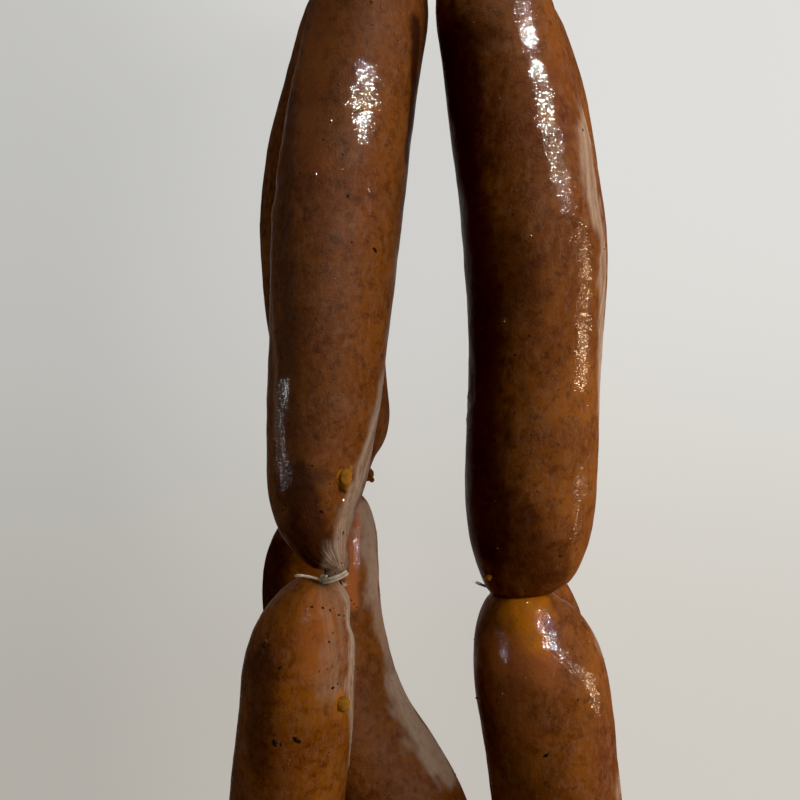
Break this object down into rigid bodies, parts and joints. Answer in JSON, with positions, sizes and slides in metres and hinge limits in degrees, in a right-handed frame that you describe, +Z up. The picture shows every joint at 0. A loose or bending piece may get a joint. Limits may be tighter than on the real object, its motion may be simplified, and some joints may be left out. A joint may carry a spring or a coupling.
{
  "type": "string of sausage links",
  "caption": "Glossy grilled sausage links tied off with twine on one string, folded double and lying down, front links on back links.",
  "frame": {"origin": "on the table, under the middle of the string's box", "axes": "+Z up from the table, +Y along the string towards its two top folds, +X to the right of the shown side"},
  "size_m": [0.1078, 0.3302, 0.066],
  "materials": {
    "casing": "wet, oily, mottled brown skin",
    "twine": "matte twisted cotton"
  },
  "bodies": {
    "root": {"link_1": "casing", "link_2": "casing", "link_3": "casing", "link_4": "casing", "link_5": "casing", "link_6": "casing", "link_7": "casing", "link_8": "casing", "tie_1": "twine", "tie_2": "twine", "tie_3": "twine", "tie_4": "twine", "tie_5": "twine", "tie_6": "twine", "tie_7": "twine", "tie_8": "twine", "tie_9": "twine"}
  },
  "joints": []
}
